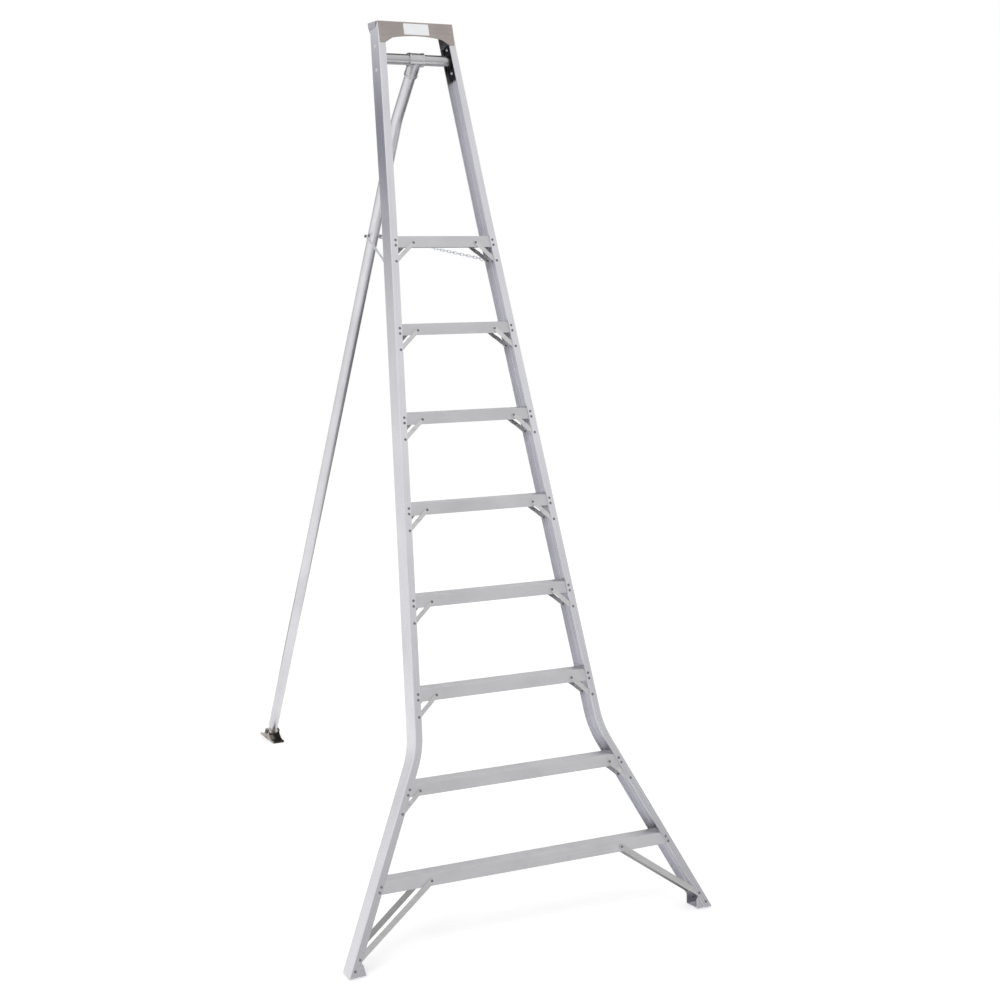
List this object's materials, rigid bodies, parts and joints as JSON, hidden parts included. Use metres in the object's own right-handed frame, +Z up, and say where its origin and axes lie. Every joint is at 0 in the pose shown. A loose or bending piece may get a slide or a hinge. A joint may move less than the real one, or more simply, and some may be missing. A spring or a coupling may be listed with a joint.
{
  "type": "orchard ladder",
  "caption": "Aluminium tripod orchard ladder with flared channel rails, riveted steps and braces, an arched top cap, a bent swinging rear pole with a tilting shoe, and spreader chains",
  "frame": {"origin": "on the floor at the middle of the ladder's outline, midway between the front edges of the rails' feet and the rear edge of the pole's shoe", "axes": "X across the steps, Y from the climbing side towards the pole, Z up"},
  "size_m": [1.361, 2.4728, 2.9796],
  "materials": {
    "rail_aluminium": "extruded mill finish",
    "tube_aluminium": "drawn mill finish",
    "cap_sheet": "pressed sheet, mill finish",
    "rivet_aluminium": "dull",
    "black_casting": "black satin",
    "grey_casting": "as cast",
    "shoe_steel": "dark brown, worn",
    "zinc_steel": "zinc plated",
    "plug_casting": "as cast",
    "dark_steel": "dark, oiled",
    "label": "plain white"
  },
  "bodies": {
    "frame": {"brace_rivets": "rivet_aluminium", "cap_label": "label", "cap_rivets": "rivet_aluminium", "chain_eye_nuts": "zinc_steel", "cross_tube": "tube_aluminium", "flange_bolts": "zinc_steel", "flange_nuts": "zinc_steel", "foot_rivets": "rivet_aluminium", "left_chain_eye": "zinc_steel", "left_foot": "rail_aluminium", "left_front_base_brace": "rail_aluminium", "left_rail": "rail_aluminium", "left_rear_base_brace": "rail_aluminium", "left_tube_flange": "black_casting", "right_chain_eye": "zinc_steel", "right_foot": "rail_aluminium", "right_front_base_brace": "rail_aluminium", "right_rail": "rail_aluminium", "right_rear_base_brace": "rail_aluminium", "right_tube_flange": "black_casting", "step_1": "rail_aluminium", "step_2": "rail_aluminium", "step_2_left_braces": "rail_aluminium", "step_2_right_braces": "rail_aluminium", "step_3": "rail_aluminium", "step_3_left_braces": "rail_aluminium", "step_3_right_braces": "rail_aluminium", "step_4": "rail_aluminium", "step_4_left_braces": "rail_aluminium", "step_4_right_braces": "rail_aluminium", "step_5": "rail_aluminium", "step_5_left_braces": "rail_aluminium", "step_5_right_braces": "rail_aluminium", "step_6": "rail_aluminium", "step_6_left_braces": "rail_aluminium", "step_6_right_braces": "rail_aluminium", "step_7": "rail_aluminium", "step_7_left_braces": "rail_aluminium", "step_7_right_braces": "rail_aluminium", "step_8": "rail_aluminium", "step_8_left_braces": "rail_aluminium", "step_8_right_braces": "rail_aluminium", "step_rivets": "rivet_aluminium", "top_cap": "cap_sheet"},
    "pole": {"pole_tee": "grey_casting", "tee_set_screw": "zinc_steel", "rear_pole": "tube_aluminium", "pole_end_plug": "plug_casting", "chain_bolt": "zinc_steel", "chain_bolt_nut": "zinc_steel"},
    "shoe": {"pole_shoe": "shoe_steel", "shoe_bolt": "dark_steel", "shoe_nut": "dark_steel"},
    "right_frame_chain": {"right_frame_chain": "zinc_steel"},
    "right_pole_chain": {"right_pole_chain": "zinc_steel"},
    "left_frame_chain": {"left_frame_chain": "zinc_steel"},
    "left_pole_chain": {"left_pole_chain": "zinc_steel"}
  },
  "joints": [
    {"name": "pole_swing", "type": "hinge", "parent": "frame", "child": "pole", "pos_m": [0, -0.20381, 2.85277], "axis": [-1, 0, 0], "range_deg": [0, 43.4]},
    {"name": "shoe_tilt", "type": "hinge", "parent": "pole", "child": "shoe", "pos_m": [0, 1.15792, 0.032], "axis": [1, 0, 0], "range_deg": [-30, 30]},
    {"name": "right_frame_chain_swing", "type": "hinge", "parent": "frame", "child": "right_frame_chain", "pos_m": [0.1933, -0.37944, 2.17316], "axis": [-0.9958, 0.055, -0.0728], "range_deg": [0, 99.4]},
    {"name": "right_pole_chain_swing", "type": "hinge", "parent": "pole", "child": "right_pole_chain", "pos_m": [0.026, 0.13692, 2.22853], "axis": [0.9961, 0.0435, 0.0772], "range_deg": [0, 125.34]},
    {"name": "left_frame_chain_swing", "type": "hinge", "parent": "frame", "child": "left_frame_chain", "pos_m": [-0.1933, -0.37944, 2.17316], "axis": [-0.9958, -0.055, 0.0728], "range_deg": [0, 99.4]},
    {"name": "left_pole_chain_swing", "type": "hinge", "parent": "pole", "child": "left_pole_chain", "pos_m": [-0.026, 0.13692, 2.22853], "axis": [0.9961, -0.0435, -0.0772], "range_deg": [0, 125.34]}
  ],
  "couplings": [
    {"joint": "right_frame_chain_swing", "follows": "pole_swing", "ratio": 2.2892},
    {"joint": "right_pole_chain_swing", "follows": "pole_swing", "ratio": 2.8869},
    {"joint": "left_frame_chain_swing", "follows": "pole_swing", "ratio": 2.2892},
    {"joint": "left_pole_chain_swing", "follows": "pole_swing", "ratio": 2.8869}
  ]
}
